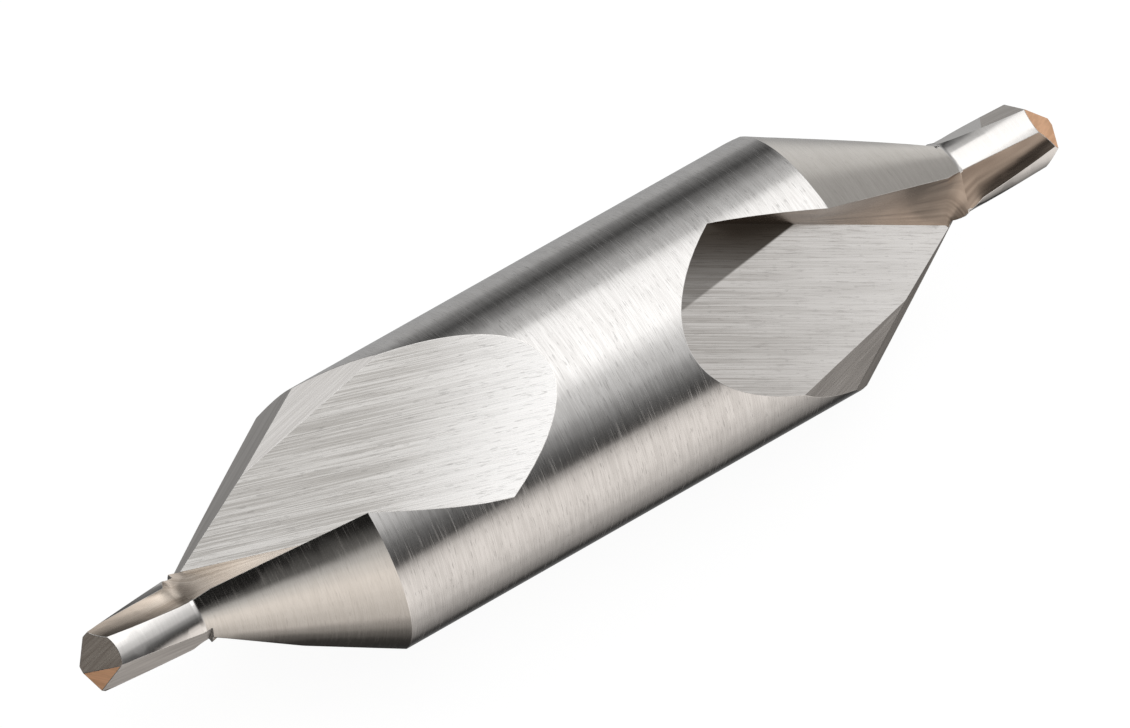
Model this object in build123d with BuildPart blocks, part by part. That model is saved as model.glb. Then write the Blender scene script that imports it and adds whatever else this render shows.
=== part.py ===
from build123d import *
import math
import os

# Double-ended centre drill lying along X with its middle at the origin, in mm.
# Each end is drawn in its own frame: X runs out to the tip, Y points from the axis
# to the leading corner of one land, and Z points into the chip groove in front of it.

# Turned blank
BODY_D = 10.0
CORNER_X = 10.15
CONE_ANGLE = 60.0
PILOT_D = 2.9
PILOT_LENGTH = 3.45
POINT_ANGLE = 118.0

# Grinding relief of the lands: the turning axis of a land sits off the drill's axis
RELIEF_DIRECTION = 35.0
CORNER_OFFSET = 0.08
TIP_OFFSET = 0.04

# How far the cone of a land is drawn past the body so that it cuts clean through its skin
CONE_OVERRUN = 3.0

# Turn of each end's leading corner around the axis, from +Y
RIGHT_TURN = 104.3
LEFT_TURN = 119.5
SEAM_TURN = 22.0

# Chip grooves, right end: point of the V bottom level with the corner, its slopes along
# the drill, the lean of the long flat wall, the lean of the short rake wall where the
# groove starts, and the turns around the pilot of its two edges, cutting edge first
RIGHT_BOTTOM_Y = 2.25
RIGHT_BOTTOM_Z = -0.53
RIGHT_BOTTOM_FALL = -0.612
RIGHT_BOTTOM_SWING = 0.317
RIGHT_FLAT_LEAN = 112.7
RIGHT_START_RAKE = -1.0
RIGHT_PILOT_TURNS = (16.0, 82.0)
RIGHT_TIP_TURNS = (33.0, 57.0)

# Chip grooves, left end: ground a little longer than the right ones
LEFT_BOTTOM_Y = 2.0
LEFT_BOTTOM_Z = -0.45
LEFT_BOTTOM_FALL = -0.50
LEFT_BOTTOM_SWING = 0.32
LEFT_FLAT_LEAN = 107.7
LEFT_START_RAKE = -30.0
LEFT_PILOT_TURNS = (13.0, 66.0)
LEFT_TIP_TURNS = (44.0, 66.0)

# The groove runs out into the body just past the middle. Its V bottom leaves the cone,
# swings over at the foot of the pilot and settles a little way along it
GROOVE_START_X = 0.5
BOTTOM_END_LENGTH = 0.7
FOOT_TURN = 100.0
SETTLE_LENGTH = 0.5

# The rake wall is nearly flat on the body and hollow on the pilot, and it is carried past
# the steel so that its cut comes out clean
BODY_HOLLOW = 0.03
PILOT_HOLLOW = 0.12
RAKE_OVERRUN = 0.4

# Second relief along the heel of the cone: a flat strip, its turn, its slope towards the
# pilot and its height over the axis level with the corner. On one land of the left end
# it is shallower and starts past the corner.
STRIP_TURN = 82.0
STRIP_SLOPE = 0.577
STRIP_HEIGHT = 3.70
SHALLOW_STRIP_SLOPE = 0.66
SHALLOW_STRIP_HEIGHT = 4.20

# Chamfer between that strip and the groove: the way it faces, its height over the axis
# level with the corner, how far it stays from the groove's far side, and how far past the
# corner it ends
RIGHT_CHAMFER_NX = 0.415
RIGHT_CHAMFER_NY = 0.619
RIGHT_CHAMFER_NZ = 0.667
RIGHT_CHAMFER_HEIGHT = 2.755
LEFT_CHAMFER_NX = 0.370
LEFT_CHAMFER_NY = 0.710
LEFT_CHAMFER_NZ = 0.599
LEFT_CHAMFER_HEIGHT = 2.67
CHAMFER_SIDE = 0.9
CHAMFER_END = 3.3

# Facet that clears the heel of the pilot: its turn and its height over the axis at the
# foot and at the tip. It starts a little inside the foot of the cone.
RIGHT_PILOT_HEEL_TURN = -58.0
RIGHT_PILOT_HEEL_FOOT_HEIGHT = 1.40
RIGHT_PILOT_HEEL_TIP_HEIGHT = 1.14
LEFT_PILOT_HEEL_TURN = -74.0
LEFT_PILOT_HEEL_FOOT_HEIGHT = 1.22
LEFT_PILOT_HEEL_TIP_HEIGHT = 0.85
PILOT_HEEL_RUN_IN = 0.25

# Flanks of the point: the first carries the lip, the second clears behind it
LIP_FLANK_TURN = 0.0
HEEL_FLANK_TURN = -60.0
HEEL_FLANK_SLOPE = 1.0
HEEL_FLANK_DROP = 0.12

# Values that follow from the ones above
body_r = BODY_D / 2
pilot_r = PILOT_D / 2
cone_slope = math.tan(math.radians(CONE_ANGLE / 2))
base_x = CORNER_X + (body_r - pilot_r) / cone_slope
rim_x = base_x + PILOT_LENGTH
tip_x = rim_x + pilot_r / math.tan(math.radians(POINT_ANGLE / 2))
lip_turn = (RIGHT_TIP_TURNS[0] + LEFT_TIP_TURNS[0]) / 2
lip_flank_slope = 1 / math.tan(math.radians(POINT_ANGLE / 2))
lip_flank_slope = lip_flank_slope / math.cos(math.radians(lip_turn - LIP_FLANK_TURN))
reach = 3 * body_r


def relief(x):
    share = (x - CORNER_X) / (tip_x - CORNER_X)
    return CORNER_OFFSET + share * (TIP_OFFSET - CORNER_OFFSET)


def turned(angle):
    return math.cos(math.radians(angle)), math.sin(math.radians(angle))


def land_radius(x, leading_radius):
    return leading_radius - relief(x) * turned(RELIEF_DIRECTION)[0]


# Envelope of the two relieved lands: one half turned about the offset axis, then its twin
side_y, side_z = turned(RELIEF_DIRECTION)
land_origin = Vector(CORNER_X, CORNER_OFFSET * side_y, CORNER_OFFSET * side_z)
land_tip = Vector(tip_x, TIP_OFFSET * side_y, TIP_OFFSET * side_z)
land_plane = Plane(origin=land_origin, x_dir=land_tip - land_origin, z_dir=(0, side_z, -side_y))
wide_x = CORNER_X - CONE_OVERRUN
wide_r = land_radius(wide_x, body_r + CONE_OVERRUN * cone_slope)
pilot_land_r = land_radius(tip_x, pilot_r)
with BuildPart() as land_half:
    with BuildSketch(land_plane):
        with BuildLine():
            Polyline(
                (-2 * tip_x, 0),
                (-2 * tip_x, wide_r),
                (-CONE_OVERRUN, wide_r),
                (base_x - CORNER_X, land_radius(base_x, pilot_r)),
                (tip_x + pilot_r - CORNER_X, pilot_land_r),
                (tip_x + pilot_r - CORNER_X, 0),
                close=True,
            )
        make_face()
    revolve(axis=Axis(land_origin, land_tip - land_origin), revolution_arc=360)
    split_plane = Plane(origin=(0, 0, 0), x_dir=(1, 0, 0), z_dir=(0, side_z, -side_y))
    split(bisect_by=split_plane, keep=Keep.TOP)

with BuildPart() as lands:
    add(land_half.part)
    add(land_half.part.rotate(Axis.X, 180))


def at_turn(turn, radius):
    y, z = turned(turn)
    return radius * y, radius * z


def groove_stations(bottom_y, bottom_z, fall, swing, start_rake, pilot_turns, tip_turns):
    # Section position, V bottom, cutting edge and hollow, from the run-out to the tip
    def bottom(x):
        return bottom_y + fall * (x - CORNER_X), bottom_z + swing * (x - CORNER_X)

    start = bottom(GROOVE_START_X)
    start_y, start_z = turned(start_rake)
    start_edge = (start[0] + start_y, start[1] + start_z)
    end_x = base_x - BOTTOM_END_LENGTH
    end_r = pilot_r + BOTTOM_END_LENGTH * cone_slope
    end_share = (end_x - CORNER_X) / (base_x - CORNER_X)
    end_edge = at_turn(end_share * pilot_turns[0], end_r)
    settle_x = base_x + SETTLE_LENGTH
    settle_share = SETTLE_LENGTH / (tip_x - base_x)
    settle_turn = pilot_turns[0] + settle_share * (tip_turns[0] - pilot_turns[0])
    past = pilot_r + RAKE_OVERRUN / 4
    foot = (at_turn(FOOT_TURN, past), at_turn(pilot_turns[0], pilot_r))
    settled = (at_turn(pilot_turns[1], past), at_turn(settle_turn, pilot_r))
    tip = (at_turn(tip_turns[1], past), at_turn(tip_turns[0], pilot_r))
    return [
        (GROOVE_START_X, start, start_edge, BODY_HOLLOW),
        (CORNER_X, bottom(CORNER_X), (body_r, 0), BODY_HOLLOW),
        (end_x, bottom(end_x), end_edge, PILOT_HOLLOW),
        (base_x, *foot, PILOT_HOLLOW),
        (settle_x, *settled, PILOT_HOLLOW),
        (tip_x, *tip, PILOT_HOLLOW),
    ]


def groove_sketch(x, bottom, edge, hollow, lean):
    # The ground-away space in one section: hollow rake wall, then the flat wall
    rake = Vector(edge[0] - bottom[0], edge[1] - bottom[1]).normalized()
    outer = Vector(*edge) + rake * RAKE_OVERRUN
    middle = (Vector(*bottom) + outer) * 0.5 + Vector(rake.Y, -rake.X) * hollow
    far = Vector(*edge) + rake * reach
    flat = Vector(*turned(lean)) * reach + Vector(*bottom)
    with BuildSketch(Plane(origin=(x, 0, 0), x_dir=(0, 1, 0), z_dir=(1, 0, 0))) as outline:
        with BuildLine():
            ThreePointArc(bottom, middle, outer)
            Polyline(outer, far, (reach, reach), flat, bottom)
        make_face()
    return outline.sketch


right_stations = groove_stations(
    RIGHT_BOTTOM_Y, RIGHT_BOTTOM_Z, RIGHT_BOTTOM_FALL, RIGHT_BOTTOM_SWING,
    RIGHT_START_RAKE, RIGHT_PILOT_TURNS, RIGHT_TIP_TURNS,
)
left_stations = groove_stations(
    LEFT_BOTTOM_Y, LEFT_BOTTOM_Z, LEFT_BOTTOM_FALL, LEFT_BOTTOM_SWING,
    LEFT_START_RAKE, LEFT_PILOT_TURNS, LEFT_TIP_TURNS,
)
right_sections = [groove_sketch(*station, RIGHT_FLAT_LEAN) for station in right_stations]
left_sections = [groove_sketch(*station, LEFT_FLAT_LEAN) for station in left_stations]

with BuildPart() as right_groove:
    loft(right_sections, ruled=True)

with BuildPart() as left_groove:
    loft(left_sections, ruled=True)


def ground_off(normal, height, side, end_x):
    # Space over a plane on the cone's heel. It stops at end_x and leaves the pilot whole.
    along = (Vector(1, 0, 0) - normal * normal.X).normalized()
    origin = Vector(CORNER_X, 0, 0) + normal * height
    with BuildPart() as space:
        with BuildSketch(Plane(origin=origin, x_dir=along, z_dir=normal)):
            with Locations((0, side)):
                Rectangle((end_x - origin.X) / along.X, reach, align=(Align.MIN, Align.MAX))
                Rectangle(base_x, reach, align=(Align.MAX, Align.MAX))
        extrude(amount=body_r)
        Cylinder(pilot_r, 2 * rim_x, rotation=(0, 90, 0), mode=Mode.SUBTRACT)
    return space.part


strip_y, strip_z = turned(STRIP_TURN)
strip_normal = Vector(STRIP_SLOPE, strip_y, strip_z).normalized()
shallow_normal = Vector(SHALLOW_STRIP_SLOPE, strip_y, strip_z).normalized()
strip = ground_off(strip_normal, STRIP_HEIGHT, body_r, base_x)
shallow_strip = ground_off(shallow_normal, SHALLOW_STRIP_HEIGHT, body_r, base_x)

chamfer_end_x = CORNER_X + CHAMFER_END
right_normal = Vector(RIGHT_CHAMFER_NX, RIGHT_CHAMFER_NY, RIGHT_CHAMFER_NZ).normalized()
left_normal = Vector(LEFT_CHAMFER_NX, LEFT_CHAMFER_NY, LEFT_CHAMFER_NZ).normalized()
right_chamfer = ground_off(right_normal, RIGHT_CHAMFER_HEIGHT, -CHAMFER_SIDE, chamfer_end_x)
left_chamfer = ground_off(left_normal, LEFT_CHAMFER_HEIGHT, -CHAMFER_SIDE, chamfer_end_x)


def pilot_heel(turn, foot_height, tip_height):
    # Heel facet of the pilot
    y, z = turned(turn)
    taper = (foot_height - tip_height) / PILOT_LENGTH
    plane = Plane(
        origin=(base_x, foot_height * y, foot_height * z),
        x_dir=(1, -taper * y, -taper * z),
        z_dir=(taper, y, z),
    )
    with BuildPart() as facet:
        with BuildSketch(plane):
            with Locations((-PILOT_HEEL_RUN_IN, 0)):
                Rectangle(2 * PILOT_LENGTH, PILOT_D, align=(Align.MIN, Align.CENTER))
        extrude(amount=pilot_r)
    return facet.part


right_pilot_heel = pilot_heel(
    RIGHT_PILOT_HEEL_TURN, RIGHT_PILOT_HEEL_FOOT_HEIGHT, RIGHT_PILOT_HEEL_TIP_HEIGHT
)
left_pilot_heel = pilot_heel(
    LEFT_PILOT_HEEL_TURN, LEFT_PILOT_HEEL_FOOT_HEIGHT, LEFT_PILOT_HEEL_TIP_HEIGHT
)


def flank_plane(turn, slope, drop):
    y, z = turned(turn)
    return Plane(origin=(tip_x + drop, 0, 0), x_dir=(-slope, y, z), z_dir=(1, slope * y, slope * z))


with BuildPart() as point_flanks:
    with BuildSketch(flank_plane(LIP_FLANK_TURN, lip_flank_slope, 0)):
        Rectangle(2 * PILOT_D, 2 * PILOT_D)
    with BuildSketch(flank_plane(HEEL_FLANK_TURN, HEEL_FLANK_SLOPE, HEEL_FLANK_DROP)):
        Rectangle(2 * PILOT_D, 2 * PILOT_D)
    extrude(amount=PILOT_D)


def end_frame(sign, turn):
    y, z = turned(turn)
    return Location(Plane(origin=(0, 0, 0), x_dir=(sign, 0, 0), z_dir=(0, -sign * z, sign * y)))


right_end = end_frame(1, RIGHT_TURN)
left_end = end_frame(-1, LEFT_TURN)
right_cuts = (right_groove.part, strip, right_chamfer, right_pilot_heel, point_flanks.part)
left_cuts = (left_groove.part, left_chamfer, left_pilot_heel, point_flanks.part)

# The seam of the round body runs along a line that no groove crosses
seam = Plane(origin=(0, 0, 0), x_dir=(0, *turned(SEAM_TURN)), z_dir=(1, 0, 0))
with BuildPart() as centre_drill:
    with BuildSketch(seam):
        Circle(body_r)
    extrude(amount=tip_x + pilot_r, both=True)
    add(lands.part.moved(right_end), mode=Mode.INTERSECT)
    add(lands.part.moved(left_end), mode=Mode.INTERSECT)
    for frame, cuts in ((right_end, right_cuts), (left_end, left_cuts)):
        for cut in cuts:
            add(cut.moved(frame), mode=Mode.SUBTRACT)
            add(cut.rotate(Axis.X, 180).moved(frame), mode=Mode.SUBTRACT)
    add(strip.moved(left_end), mode=Mode.SUBTRACT)
    add(shallow_strip.rotate(Axis.X, 180).moved(left_end), mode=Mode.SUBTRACT)

centre_drill.part.label = "centre_drill"

os.makedirs("parts", exist_ok=True)
export_step(centre_drill.part, "parts/centre_drill.step")
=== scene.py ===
import math

import bmesh
import bpy
from mathutils import Matrix, Vector


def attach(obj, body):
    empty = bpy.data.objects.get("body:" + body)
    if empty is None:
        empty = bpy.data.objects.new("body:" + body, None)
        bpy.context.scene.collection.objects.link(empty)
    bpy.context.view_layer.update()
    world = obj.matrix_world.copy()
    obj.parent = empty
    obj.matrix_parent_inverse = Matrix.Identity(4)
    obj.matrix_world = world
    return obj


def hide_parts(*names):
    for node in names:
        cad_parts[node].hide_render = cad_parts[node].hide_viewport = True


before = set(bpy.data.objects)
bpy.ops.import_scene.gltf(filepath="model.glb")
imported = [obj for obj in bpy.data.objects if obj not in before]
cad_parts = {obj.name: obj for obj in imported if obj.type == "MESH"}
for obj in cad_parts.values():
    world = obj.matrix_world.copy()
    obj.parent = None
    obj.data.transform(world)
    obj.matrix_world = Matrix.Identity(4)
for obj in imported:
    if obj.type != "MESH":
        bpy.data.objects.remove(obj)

bpy.context.view_layer.update()

MM = 0.001
MICRON = 0.000001
TINY = 1e-9
NODE = "centre_drill"

# Shape of the drill that the finish follows, in mm and degrees
BODY_R = 5.0
PILOT_R = 1.45
CORNER_X = 10.15
FOOT_X = 16.3
RIM_X = 19.75
TIP_X = 20.62
RIGHT_TURN = 104.3
LEFT_TURN = 119.5
HALF_CONE = math.radians(30)
CONE_SLOPE = 0.577

# Broken edges: width in mm, and the least angle between the faces beside one
EDGE_WIDTH = 0.014
EDGE_ANGLE = math.radians(14)
FILLET_WIDTH = 0.09
FILLET_SEGMENTS = 3

# Clean-up of the mesh, in mm, and the angles that still count as flat and as smooth
MERGE_DISTANCE = 0.002
SLIVER_WIDTH = 0.01
FLAT_ANGLE = math.radians(0.4)
SMOOTH_ANGLE = math.radians(50)
LEAST_AGREEMENT = 0.5

# Camera: a long lens, so that the drill is seen with hardly any perspective
CAM_AZIMUTH = -33.89
CAM_ELEVATION = 57.36
CAM_DISTANCE = 706.9
CAM_SIDE = -0.17
CAM_UP = 1.04
CAM_LENS = 637.2
CAM_SENSOR = 36
CAM_NEAR = 0.01
CAM_FAR = 10

# Kinds of ground surface. Their order is the order of the drill's materials.
(BODY, CONE, PILOT, FLAT, SHORT_FLAT, HEEL, STRIP, LIP, POINT, PILOT_HEEL, PILOT_HEEL_PAINTED_LIGHTER, RAKE,
 RAKE_PAINTED_LIGHTER, EDGE) = range(14)
TURNED = (BODY, CONE, PILOT)
RAKES = (RAKE, RAKE_PAINTED_LIGHTER)
WALLS = (FLAT, SHORT_FLAT) + RAKES
PLANES = (FLAT, SHORT_FLAT, HEEL, STRIP, LIP, POINT, PILOT_HEEL, PILOT_HEEL_PAINTED_LIGHTER)


def end_turn(x):
    """Sign of the end that x lies in, and that end's turn round the axis."""
    return (1, math.radians(RIGHT_TURN)) if x > 0 else (-1, math.radians(LEFT_TURN))


def to_local(v, x):
    """A world direction or place in the frame of the end that x lies in."""
    sign, turn = end_turn(x)
    c, s = math.cos(turn), math.sin(turn)
    return Vector((sign * v.x, v.y * c + v.z * s, sign * (v.z * c - v.y * s)))


def to_world(v, x):
    """The way back from the frame of the end that x lies in."""
    sign, turn = end_turn(x)
    c, s = math.cos(turn), math.sin(turn)
    return Vector((sign * v.x, v.y * c - sign * v.z * s, v.y * s + sign * v.z * c))


def unit(*v):
    return Vector(v).normalized()


def leaning(angle):
    return Vector((0, math.cos(math.radians(angle)), math.sin(math.radians(angle))))


# In the frame of an end: the V bottom of its groove and the lean of the flat wall, for the
# right end (1) and the left end (-1), and the normals of the facets
GROOVE_LINE = {1: unit(1, -0.612, 0.317), -1: unit(1, -0.50, 0.32)}
WALL_LEAN = {1: leaning(112.7), -1: leaning(107.7)}
WALL_NORMAL = {s: WALL_LEAN[s].cross(GROOVE_LINE[s]).normalized() for s in (1, -1)}
STRIP_NORMALS = (unit(0.5, 0.1205, 0.8576), unit(0.55, 0.116, 0.827))
HEEL_NORMALS = (unit(0.415, 0.619, 0.667), unit(0.370, 0.710, 0.599))
LIP_NORMAL = unit(0.80, 0.60, 0)

# Where the middle of a face has to lie to belong to a surface: depth under the full radius
# and distance from the drill's middle in mm, turn round the axis in degrees
BODY_SKIN = 0.15
CONE_SKIN = 0.25
CONE_MARGIN = 0.2
PILOT_SKIN = 0.17
PILOT_START = FOOT_X - 0.3
PILOT_END = RIM_X + 0.4
FLUTE_TURNS = (30, 56)
FLUTE_SINK = 0.09
LEDGE_START = FOOT_X - 0.5
WALL_END = FOOT_X + 0.1
FACET_END = FOOT_X + 0.2
POINT_START = RIM_X - 0.6
PILOT_HEEL_PLACE = (-112, -20)

# How its normal has to face: least cosines, largest errors on the cone, and for the pilot's
# heel facets the most that they lean to the tip and their turn in degrees
BODY_FACING = 0.985
PILOT_FACING = 0.97
LEDGE_FACING = 0.9
WALL_FACING = 0.985
FACET_FACING = 0.998
LIP_FACING = 0.98
POINT_FACING = 0.35
CONE_RADIAL_ERROR = 0.02
CONE_AXIAL_ERROR = 0.03
PILOT_HEEL_LEAN = 0.2
PILOT_HEEL_FACING = (-85, -50)


def turn_of(v, twin=1):
    return math.degrees(math.atan2(twin * v.z, twin * v.y))


def kind(co, n):
    """Which ground surface a face belongs to, from its middle (mm) and its normal."""
    rho = math.hypot(co.y, co.z)
    sign = 1 if co.x > 0 else -1
    x = abs(co.x)
    radial, axial = (n.y * co.y + n.z * co.z) / max(rho, TINY), n.x * sign
    if rho > BODY_R - BODY_SKIN and radial > BODY_FACING:
        return BODY
    faces_cone = (abs(radial - math.cos(HALF_CONE)) < CONE_RADIAL_ERROR
                  and abs(axial - math.sin(HALF_CONE)) < CONE_AXIAL_ERROR)
    cone_r = BODY_R - CONE_SKIN - (x - CORNER_X) * CONE_SLOPE
    if CORNER_X - CONE_MARGIN < x < FOOT_X + CONE_MARGIN and faces_cone and rho > cone_r:
        return CONE
    local, place = to_local(n, co.x), to_local(co, co.x)
    in_flute = FLUTE_TURNS[0] < turn_of(place) % 180 < FLUTE_TURNS[1] and rho < PILOT_R - FLUTE_SINK
    on_pilot = radial > PILOT_FACING and rho > PILOT_R - PILOT_SKIN
    if PILOT_START < x < PILOT_END and on_pilot and not in_flute:
        return PILOT
    if LEDGE_START < x < FOOT_X and axial > LEDGE_FACING:
        return STRIP
    for twin in (1, -1):
        m = Vector((local.x, twin * local.y, twin * local.z))
        if m.dot(WALL_NORMAL[sign]) > WALL_FACING and x < WALL_END:
            return SHORT_FLAT if sign > 0 else FLAT
        if x < FACET_END and max(m.dot(h) for h in HEEL_NORMALS) > FACET_FACING:
            return HEEL
        if x < FACET_END and max(m.dot(h) for h in STRIP_NORMALS) > FACET_FACING:
            return PILOT_HEEL if sign > 0 else STRIP
        if x > POINT_START and m.dot(LIP_NORMAL) > LIP_FACING:
            return POINT if sign > 0 else LIP
    if x > POINT_START and axial > POINT_FACING:
        return POINT
    for twin in (1, -1):
        facing = PILOT_HEEL_FACING[0] < turn_of(local, twin) < PILOT_HEEL_FACING[1]
        there = PILOT_HEEL_PLACE[0] < turn_of(place, twin) < PILOT_HEEL_PLACE[1]
        if x > PILOT_START and local.x < PILOT_HEEL_LEAN and facing and there:
            return PILOT_HEEL if sign > 0 else PILOT_HEEL_PAINTED_LIGHTER
    return RAKE if sign > 0 else RAKE_PAINTED_LIGHTER


def grain_axes(co, n, which):
    """Across the grinding lines, along them, and square to the steel, at one face."""
    sign = end_turn(co.x)[0]
    if which in RAKES and abs(co.x) > FOOT_X:
        return Vector((0, 1, 0)), Vector((1, 0, 0)), Vector((0, 0, 1))
    if which in WALLS:
        local = to_local(n, co.x)
        line = GROOVE_LINE[sign]
        first = local.dot(WALL_NORMAL[sign]) > 0 or which in RAKES and local.z > 0
        twin = 1 if first else -1
        along = to_world(Vector((line.x, twin * line.y, twin * line.z)), co.x)
        if which in RAKES:
            n = along.orthogonal().normalized()
    elif which in (LIP, POINT):
        along = co - Vector((sign * TIP_X, 0, 0))
    else:
        along = Vector((1, 0, 0))
    along = (along - n * along.dot(n)).normalized()
    return n.cross(along).normalized(), along, n


def kinds_of(edge):
    return {f.material_index for f in edge.link_faces}


def is_inner(edge):
    """Whether an edge only divides one flat surface."""
    return (len(edge.link_faces) == 2 and edge.calc_face_angle() < FLAT_ANGLE
            and len(kinds_of(edge)) == 1 and edge.link_faces[0].material_index in PLANES)


def is_sharp(edge):
    """Whether two surfaces meet here in an edge that is broken on the real tool."""
    beside = kinds_of(edge)
    if len(beside) != 2 or EDGE in beside or beside == set(RAKES):
        return False
    groove_bottom = beside == {SHORT_FLAT, RAKE} and edge.calc_face_angle_signed(0) < 0
    return edge.calc_face_angle(0) > EDGE_ANGLE and not groove_bottom


def round_edges(bm, edges, width, segments):
    bmesh.ops.bevel(
        bm, geom=edges, offset=width, offset_type="OFFSET", segments=segments, profile=0.5,
        affect="EDGES", material=EDGE, loop_slide=True, clamp_overlap=False,
    )


def face_loop_normals(bm, exact):
    """Normals of all face corners: the true ones, smooth along the rake walls and edges."""
    soft = math.cos(SMOOTH_ANGLE)
    normals = []
    for f in bm.faces:
        for loop in f.loops:
            near = loop.vert.link_loops
            if f.material_index == EDGE:
                beside = [k for k in near if k.face.material_index != EDGE] or list(near)
                n = sum((k.face.normal * k.face.calc_area() for k in beside), Vector())
            elif f.material_index in RAKES:
                beside = [k for k in near if k.face.material_index in RAKES]
                beside = [k for k in beside if k.face.normal.dot(f.normal) > soft]
                n = sum((k.face.normal * k.calc_angle() for k in beside), Vector())
            else:
                n = loop[exact].copy()
            n = n.normalized() if n.length > TINY else f.normal.copy()
            normals.append(n if n.dot(f.normal) > LEAST_AGREEMENT else f.normal.copy())
    return normals


def grain_places(bm):
    """For all face corners, their place across and along the grinding lines, in mm."""
    places = []
    for f in bm.faces:
        corners = [loop.vert.co.copy() for loop in f.loops]
        if f.material_index not in TURNED + (EDGE,):
            axes = grain_axes(f.calc_center_median(), f.normal, f.material_index)
            corners = [Vector([p.dot(axis) for axis in axes]) for p in corners]
        places += corners
    return places


def build_drill(source):
    """The drill's surface with broken edges, the finish of each face and its grain."""
    bm = bmesh.new()
    bm.from_mesh(source)
    bm.faces.ensure_lookup_table()
    exact = bm.loops.layers.float_vector.new("exact")
    for f in bm.faces:
        for loop, k in zip(f.loops, source.polygons[f.index].loop_indices):
            loop[exact] = source.corner_normals[k].vector
    bmesh.ops.scale(bm, vec=(1 / MM,) * 3, verts=bm.verts)
    bmesh.ops.remove_doubles(bm, verts=bm.verts, dist=MERGE_DISTANCE)
    bmesh.ops.dissolve_degenerate(bm, edges=bm.edges, dist=SLIVER_WIDTH)
    for f in bm.faces:
        n = sum((loop[exact] for loop in f.loops), Vector()).normalized()
        f.material_index = kind(f.calc_center_median(), n)
        f.smooth = True
    bmesh.ops.dissolve_edges(bm, edges=[e for e in bm.edges if is_inner(e)], use_verts=False)
    foot = [e for e in bm.edges if kinds_of(e) == {CONE, PILOT}]
    round_edges(bm, foot, FILLET_WIDTH, FILLET_SEGMENTS)
    round_edges(bm, [e for e in bm.edges if is_sharp(e)], EDGE_WIDTH, 1)
    bm.normal_update()

    normals = face_loop_normals(bm, exact)
    grain = grain_places(bm)
    bm.loops.layers.float_vector.remove(exact)
    bmesh.ops.scale(bm, vec=(MM,) * 3, verts=bm.verts)
    mesh = bpy.data.meshes.new("ground_drill")
    bm.to_mesh(mesh)
    bm.free()
    mesh.normals_split_custom_set([tuple(n) for n in normals])
    attribute = mesh.attributes.new("grain", "FLOAT_VECTOR", "CORNER")
    attribute.data.foreach_set("vector", [c for v in grain for c in v])
    return mesh


def node_material(name):
    mat = bpy.data.materials.new(name)
    mat.use_nodes = True
    return mat, mat.node_tree, mat.node_tree.nodes["Principled BSDF"]


def feed(tree, socket, value):
    if isinstance(value, (int, float)):
        socket.default_value = value
    elif isinstance(value, tuple):
        socket.default_value = (*value, 1)
    else:
        tree.links.new(value, socket)


def split_vector(tree, vector):
    node = tree.nodes.new("ShaderNodeSeparateXYZ")
    tree.links.new(vector, node.inputs[0])
    return node.outputs


def noise(tree, vector, scale, detail=0.0, rough=0.5, shift=0.0):
    """Noise of the grain coordinates, stretched along the grinding lines."""
    stretch = tree.nodes.new("ShaderNodeMapping")
    stretch.vector_type = "POINT"
    stretch.inputs["Scale"].default_value = scale
    stretch.inputs["Location"].default_value = (shift,) * 3
    tree.links.new(vector, stretch.inputs["Vector"])
    node = tree.nodes.new("ShaderNodeTexNoise")
    node.inputs["Scale"].default_value = 1.0
    node.inputs["Detail"].default_value = detail
    node.inputs["Roughness"].default_value = rough
    tree.links.new(stretch.outputs["Vector"], node.inputs["Vector"])
    return node.outputs["Fac"]


def remap(tree, value, span, goal=(0.0, 1.0)):
    """The value, eased from the first pair of numbers to the second."""
    node = tree.nodes.new("ShaderNodeMapRange")
    node.interpolation_type = "SMOOTHSTEP"
    for socket, v in zip(("From Min", "From Max", "To Min", "To Max"), (*span, *goal)):
        node.inputs[socket].default_value = v
    tree.links.new(value, node.inputs["Value"])
    return node.outputs["Result"]


def calc(tree, operation, a, b):
    node = tree.nodes.new("ShaderNodeMath")
    node.operation = operation
    feed(tree, node.inputs[0], a)
    feed(tree, node.inputs[1], b)
    return node.outputs[0]


def blend(tree, factor, a, b):
    node = tree.nodes.new("ShaderNodeMix")
    node.data_type = "RGBA"
    feed(tree, node.inputs["Factor"], factor)
    colors = [s for s in node.inputs if s.type == "RGBA"]
    feed(tree, colors[0], a)
    feed(tree, colors[1], b)
    return [s for s in node.outputs if s.type == "RGBA"][0]


# Grain that all finishes share: cycles per mm across and along the lines, and the part of
# the noise that shows as a scratch, a nick or the pale and dark lines
BROAD_WIDER = 5
BROAD_LONGER = 2
PATCH_SCALE = (0.55, 0.35, 0.35)
SCRATCH_SCALE = (26.0, 0.9, 0.9)
NICK_SCALE = (26.0, 2.4, 2.4)
SCRATCH_SPAN = (0.58, 0.76)
NICK_SPAN = (0.69, 0.76)
TONE_SPAN = (0.38, 0.62)
FINE_TONE = 0.6
BROAD_TONE = 0.4
NICK_TONE = 0.45
BROAD_HEIGHT = 1.5
GLOSS_SWING = 0.08


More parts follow.
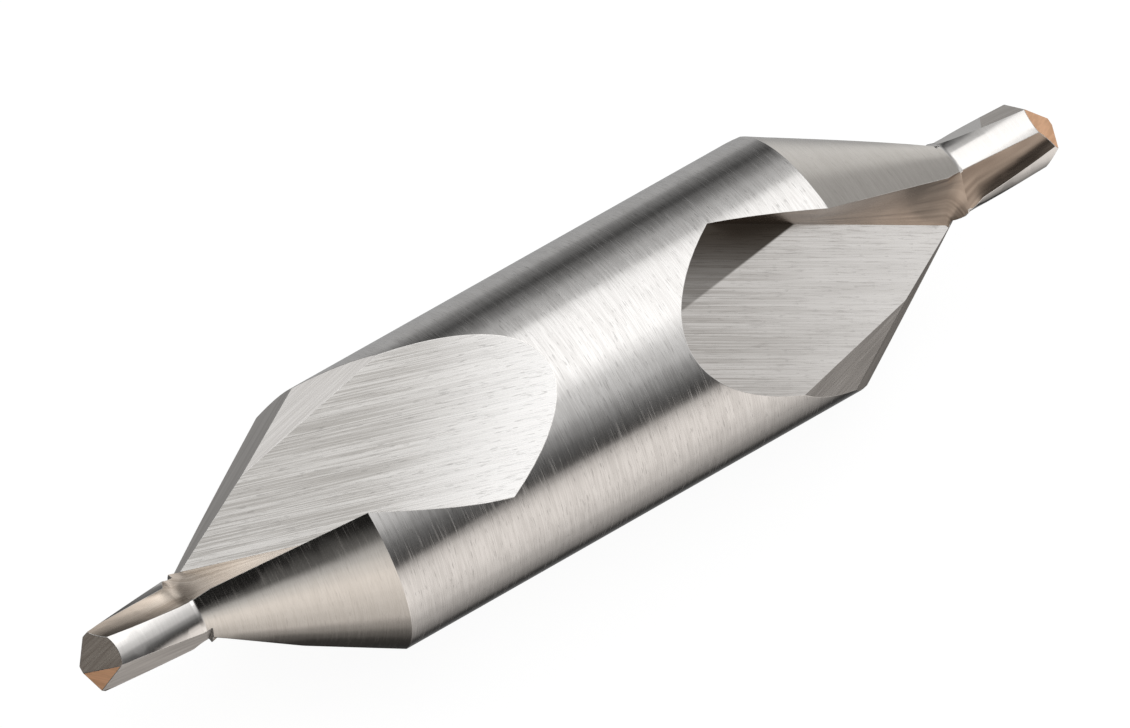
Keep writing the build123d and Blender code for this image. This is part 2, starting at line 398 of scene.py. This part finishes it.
def ground_steel(name, light, dark, rough, lines, run, depth, scratch, nicks, tint=None, fade=None,
                 burn=None):
    """Ground steel: fine lines in height, tone and gloss, scratches, nicks, heat tint, a painted
    light gradient and a patch of painted shade.
    """
    mat, tree, shader = node_material(name)
    attribute = tree.nodes.new("ShaderNodeAttribute")
    attribute.attribute_name = "grain"
    v = attribute.outputs["Vector"]
    broad_run = run / BROAD_LONGER
    fine = noise(tree, v, (lines, run, run), detail=1.0, rough=0.6)
    broad = noise(tree, v, (lines / BROAD_WIDER, broad_run, broad_run), detail=2.0, shift=7.0)
    patch = noise(tree, v, PATCH_SCALE, detail=2.0, shift=3.0)
    scratches = remap(tree, noise(tree, v, SCRATCH_SCALE, shift=11.0), SCRATCH_SPAN)
    dashes = remap(tree, noise(tree, v, NICK_SCALE, shift=17.0), NICK_SPAN)

    fine_tone = calc(tree, "MULTIPLY", fine, FINE_TONE)
    tone = calc(tree, "ADD", fine_tone, calc(tree, "MULTIPLY", broad, BROAD_TONE))
    color = blend(tree, remap(tree, tone, TONE_SPAN), dark, light)
    if tint:
        color = blend(tree, remap(tree, patch, TONE_SPAN), color, tint)
    # Painted light: the tone changes slowly along the face, standing in for how light falls on it
    if fade:
        place = split_vector(tree, v)
        aside = calc(tree, "MULTIPLY", place["X"], fade["tilt"])
        aslant = calc(tree, "SUBTRACT", place["Y"], aside)
        amount = remap(tree, aslant, fade["span"], (0.0, fade["share"]))
        color = blend(tree, amount, color, fade["color"])
    nick_color = tuple(c * NICK_TONE for c in dark)
    color = blend(tree, calc(tree, "MULTIPLY", dashes, nicks), color, nick_color)
    # Painted shade: a dark patch where the short grooves start
    if burn:
        color = blend(tree, burn(tree, v), color, PAINTED_SHADE_COLOR)
    tree.links.new(color, shader.inputs["Base Color"])
    shader.inputs["Metallic"].default_value = 1.0

    fine_gloss = calc(tree, "MULTIPLY", fine, GLOSS_SWING)
    gloss = calc(tree, "ADD", fine_gloss, calc(tree, "MULTIPLY", patch, GLOSS_SWING))
    gloss = calc(tree, "ADD", gloss, calc(tree, "MULTIPLY", scratches, scratch))
    gloss = calc(tree, "ADD", gloss, rough - GLOSS_SWING)
    tree.links.new(gloss, shader.inputs["Roughness"])

    height = calc(tree, "ADD", fine, calc(tree, "MULTIPLY", broad, BROAD_HEIGHT))
    height = calc(tree, "SUBTRACT", height, calc(tree, "MULTIPLY", scratches, scratch))
    bump = tree.nodes.new("ShaderNodeBump")
    bump.inputs["Strength"].default_value = 1.0
    bump.inputs["Distance"].default_value = depth * MICRON
    tree.links.new(height, bump.inputs["Height"])
    tree.links.new(bump.outputs["Normal"], shader.inputs["Normal"])
    return mat


# Painted shade where the short grooves start, a dark patch standing in for the rake wall's shade
# on the flat wall: its edge runs aslant over the flat wall, and it deepens across the lines, both in
# mm
PAINTED_SHADE_COLOR = (0.045, 0.036, 0.028)
PAINTED_SHADE_SLOPE = 1.857
PAINTED_SHADE_OFFSET = -2.70
PAINTED_SHADE_EDGE = (-0.05, 0.15)
PAINTED_SHADE_ACROSS = (1.8, 4.6)
PAINTED_SHADE_STRENGTH = (0.50, 0.98)


# Mask of the painted shade patch where the short grooves start
def groove_painted_shade(tree, v):
    place = split_vector(tree, v)
    edge = calc(tree, "ADD", calc(tree, "MULTIPLY", place["X"], PAINTED_SHADE_SLOPE), PAINTED_SHADE_OFFSET)
    inside = remap(tree, calc(tree, "SUBTRACT", edge, place["Y"]), PAINTED_SHADE_EDGE)
    deep = remap(tree, place["X"], PAINTED_SHADE_ACROSS, PAINTED_SHADE_STRENGTH)
    return calc(tree, "MULTIPLY", inside, deep)


# Finish of each surface: pale and dark lines, roughness, lines per mm across and along, depth
# in microns, how far scratches and nicks show, and for some a second colour that comes in
# patches (tint) or as a painted light gradient along the groove (fade)
# Painted light and shade in some tones: the heels, the point and the left end's pilot heel
# facets and rake walls are lighter than steel is, the relief strips and right rake walls darker
FINISHES = {
    BODY: dict(
        name="turned_body", light=(0.68, 0.665, 0.65), dark=(0.58, 0.565, 0.55), rough=0.17,
        lines=24.0, run=0.8, depth=0.62, scratch=0.11, nicks=0.4,
    ),
    CONE: dict(
        name="ground_cone", light=(0.70, 0.665, 0.62), dark=(0.655, 0.62, 0.575), rough=0.15,
        lines=22.0, run=0.9, depth=0.20, scratch=0.08, nicks=0.15,
    ),
    PILOT: dict(
        name="polished_pilot", light=(0.70, 0.68, 0.66), dark=(0.67, 0.65, 0.63), rough=0.14,
        lines=16.0, run=1.0, depth=0.06, scratch=0.02, nicks=0.0,
    ),
    FLAT: dict(
        name="ground_flat", light=(0.70, 0.68, 0.655), dark=(0.47, 0.45, 0.425), rough=0.25,
        lines=22.0, run=0.22, depth=0.55, scratch=0.14, nicks=0.3,
        # painted light: the flat wall's tone brightens along the groove
        fade=dict(span=(6.5, -1.5), tilt=0.5, color=(1.0, 0.985, 0.97), share=0.96),
    ),
    SHORT_FLAT: dict(
        name="ground_short_flat", light=(0.67, 0.645, 0.62), dark=(0.47, 0.445, 0.42), rough=0.24,
        lines=20.0, run=0.16, depth=0.50, scratch=0.14, nicks=0.2,
        # painted light: the short flat wall's tone brightens along the groove
        fade=dict(span=(0.0, 14.0), tilt=0.0, color=(0.95, 0.925, 0.90), share=0.68),
        # painted shade where the short grooves start
        burn=groove_painted_shade,
    ),
    # painted light: tone lighter than steel is
    HEEL: dict(
        name="ground_heel", light=(0.94, 0.91, 0.88), dark=(0.82, 0.79, 0.76), rough=0.24,
        lines=16.0, run=0.3, depth=0.4, scratch=0.04, nicks=0.05,
    ),
    # painted shade: tone darker than steel is
    STRIP: dict(
        name="relief_strip", light=(0.52, 0.50, 0.48), dark=(0.42, 0.40, 0.38), rough=0.42,
        lines=10.0, run=0.3, depth=0.3, scratch=0.02, nicks=0.05,
    ),
    LIP: dict(
        name="ground_lip", light=(0.48, 0.435, 0.385), dark=(0.36, 0.315, 0.275), rough=0.26,
        lines=9.0, run=0.4, depth=0.4, scratch=0.02, nicks=0.0,
    ),
    # orange tint, and painted light: tone lighter than steel is
    POINT: dict(
        name="tinted_point", light=(1.0, 0.66, 0.43), dark=(0.88, 0.56, 0.35), rough=0.66,
        lines=7.0, run=0.8, depth=0.3, scratch=0.02, nicks=0.0,
    ),
    PILOT_HEEL: dict(
        name="pilot_heel", light=(0.70, 0.66, 0.62), dark=(0.58, 0.54, 0.50), rough=0.40,
        lines=9.0, run=0.5, depth=0.3, scratch=0.02, nicks=0.0,
    ),
    # painted light: a lighter copy of the pilot heel facets, for the left end
    PILOT_HEEL_PAINTED_LIGHTER: dict(
        name="pale_pilot_heel", light=(1.0, 0.965, 0.93), dark=(0.88, 0.845, 0.81), rough=0.45,
        lines=9.0, run=0.5, depth=0.3, scratch=0.02, nicks=0.0,
    ),
    # brown tint, and painted shade: tone darker than steel is
    RAKE: dict(
        name="tinted_rake", light=(0.44, 0.36, 0.295), dark=(0.23, 0.18, 0.145), rough=0.22,
        lines=7.0, run=0.14, depth=0.5, scratch=0.04, nicks=0.0, tint=(0.33, 0.265, 0.215),
    ),
    # straw tint, and painted light: a lighter copy of the rake walls, for the left end
    RAKE_PAINTED_LIGHTER: dict(
        name="pale_rake", light=(0.97, 0.85, 0.73), dark=(0.66, 0.55, 0.45), rough=0.26,
        lines=7.0, run=0.14, depth=0.5, scratch=0.04, nicks=0.0, tint=(0.82, 0.70, 0.59),
        # painted gradient: the painted lighter tone gives way to a dark one towards the pilot
        fade=dict(span=(-16.0, -19.0), tilt=0.0, color=(0.34, 0.29, 0.245), share=0.85),
    ),
    EDGE: dict(
        name="broken_edge", light=(0.76, 0.74, 0.72), dark=(0.62, 0.60, 0.58), rough=0.22,
        lines=6.0, run=2.0, depth=0.3, scratch=0.02, nicks=0.0,
    ),
}

drill = bpy.data.objects.new("ground_drill", build_drill(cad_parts[NODE].data))
bpy.context.collection.objects.link(drill)
for which in sorted(FINISHES):
    drill.data.materials.append(ground_steel(**FINISHES[which]))
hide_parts(NODE)
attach(drill, "root")

# Pale floor, under the round body
FLOOR_REACH = 1.5
FLOOR_COLOR = (0.12, 0.12, 0.12)
FLOOR_GLOW = 0.93
FLOOR_ROUGHNESS = 0.9
WHITE = (1, 1, 1)
floor_mesh = bpy.data.meshes.new("floor")
bm = bmesh.new()
bmesh.ops.create_grid(bm, x_segments=8, y_segments=8, size=FLOOR_REACH)
bmesh.ops.translate(bm, vec=(0, 0, -BODY_R * MM), verts=bm.verts)
bm.to_mesh(floor_mesh)
bm.free()
floor = bpy.data.objects.new("floor", floor_mesh)
bpy.context.collection.objects.link(floor)
mat, tree, shader = node_material("pale_floor")
feed(tree, shader.inputs["Base Color"], FLOOR_COLOR)
feed(tree, shader.inputs["Roughness"], FLOOR_ROUGHNESS)
feed(tree, shader.inputs["Specular IOR Level"], 0.0)
feed(tree, shader.inputs["Emission Color"], WHITE)
feed(tree, shader.inputs["Emission Strength"], FLOOR_GLOW)
floor_mesh.materials.append(mat)
floor.visible_glossy = False

scene = bpy.context.scene
scene.view_settings.view_transform = "Standard"

# Studio. Each wall gives its brightness by the turn round the room's long axis, in degrees:
# -90 under the drill, 0 the back horizon, 90 overhead, 180 the front horizon. The values are
# not a free design. They began as the brightness of the photograph's steel where it mirrors
# these turns, divided by what steel reflects, and were then adjusted.
OVERHEAD = [(-20, 0.50), (-6, 0.22), (8, 0.07), (18, 0.21), (36, 0.60), (46, 0.68), (53, 1.40),
            (62, 1.50), (102, 1.60), (113, 1.22), (121, 0.88), (134, 0.73), (148, 0.33), (160, 0.13),
            (170, 0.06), (181, 0.90)]
ROOM = [(-90, 0.03), (-50, 0.42), *OVERHEAD, (192, 1.10), (208, 1.08), (226, 0.84), (243, 0.50),
        (257, 0.27), (270, 0.03)]
LEFT_CORNER = [(-90, 0.03), (-62, 0.06), (-45, 0.42), *OVERHEAD, (192, 1.15), (208, 1.18),
               (224, 0.80), (237, 0.36), (249, 0.13), (260, 0.04), (270, 0.03)]
LEFT_WALL = [(-90, 0.03), (-30, 0.5), (30, 0.87), (46, 0.90), (60, 0.01), (133, 0.01), (147, 0.12),
             (161, 0.60), (172, 0.86), (184, 1.02), (196, 0.95), (206, 0.76), (218, 0.42),
             (232, 0.14), (250, 0.02), (270, 0.02)]
RIGHT_WALL = [(-90, 0.2), (-28, 0.9), (0, 0.70), (20, 0.44), (80, 0.40), (110, 0.60), (147, 0.88),
              (190, 0.50), (216, 0.17), (270, 0.2)]
FIRST_TURN = -90
FULL_TURN = 360
BRIGHTEST = 1.75

# Where along the room, as the X of a direction, one wall gives way to the next
CORNER_BLEND = (0.20, -0.06)
LEFT_BLEND = (-0.30, -0.54)
RIGHT_BLEND = (0.45, 0.80)

# The front wall is a little warmer than the rest, from this turn on
FRONT_TINT = (1.0, 0.952, 0.912)
FRONT_TURN = 160
FRONT_BLEND = 20

world = bpy.data.worlds.new("studio")
scene.world = world
world.use_nodes = True
tree = world.node_tree
coords = tree.nodes.new("ShaderNodeTexCoord")
direction = split_vector(tree, coords.outputs["Generated"])
front = calc(tree, "MULTIPLY", direction["Y"], -1.0)
turn = calc(tree, "ARCTAN2", front, direction["Z"])
share = calc(tree, "ADD", calc(tree, "DIVIDE", turn, 2 * math.pi), 0.5)


def wall(stops):
    """Colour of one wall, from its list of turns and brightnesses."""
    ramp = tree.nodes.new("ShaderNodeValToRGB")
    ramp.color_ramp.interpolation = "EASE"
    while len(ramp.color_ramp.elements) < len(stops):
        ramp.color_ramp.elements.new(0.5)
    for element, (angle, value) in zip(ramp.color_ramp.elements, stops):
        warm = min(max((angle - FRONT_TURN) / FRONT_BLEND, 0), 1)
        element.position = (angle - FIRST_TURN) / FULL_TURN
        element.color = (*(value / BRIGHTEST * (1 - warm + warm * c) for c in FRONT_TINT), 1)
    tree.links.new(share, ramp.inputs[0])
    return ramp.outputs[0]


room = wall(ROOM)
for span, stops in ((CORNER_BLEND, LEFT_CORNER), (LEFT_BLEND, LEFT_WALL), (RIGHT_BLEND, RIGHT_WALL)):
    room = blend(tree, remap(tree, direction["X"], span), room, wall(stops))
background = tree.nodes["Background"]
tree.links.new(room, background.inputs["Color"])
background.inputs["Strength"].default_value = BRIGHTEST
backdrop = tree.nodes.new("ShaderNodeBackground")
feed(tree, backdrop.inputs["Color"], WHITE)
rays = tree.nodes.new("ShaderNodeLightPath")
mixed = tree.nodes.new("ShaderNodeMixShader")
tree.links.new(rays.outputs["Is Camera Ray"], mixed.inputs[0])
tree.links.new(background.outputs[0], mixed.inputs[1])
tree.links.new(backdrop.outputs[0], mixed.inputs[2])
tree.links.new(mixed.outputs[0], tree.nodes["World Output"].inputs["Surface"])

azimuth, elevation = math.radians(CAM_AZIMUTH), math.radians(CAM_ELEVATION)
level = math.cos(elevation)
back = Vector((math.sin(azimuth) * level, -math.cos(azimuth) * level, math.sin(elevation)))
right = Vector((math.cos(azimuth), math.sin(azimuth), 0))
up = back.cross(right)
cam_data = bpy.data.cameras.new("camera")
cam_data.lens = CAM_LENS
cam_data.sensor_width = CAM_SENSOR
cam_data.clip_start = CAM_NEAR
cam_data.clip_end = CAM_FAR
cam = bpy.data.objects.new("camera", cam_data)
bpy.context.collection.objects.link(cam)
place = (right * CAM_SIDE + up * CAM_UP + back * CAM_DISTANCE) * MM
cam.matrix_world = Matrix.Translation(place) @ Matrix((right, up, back)).transposed().to_4x4()
scene.camera = cam

bpy.context.view_layer.update()
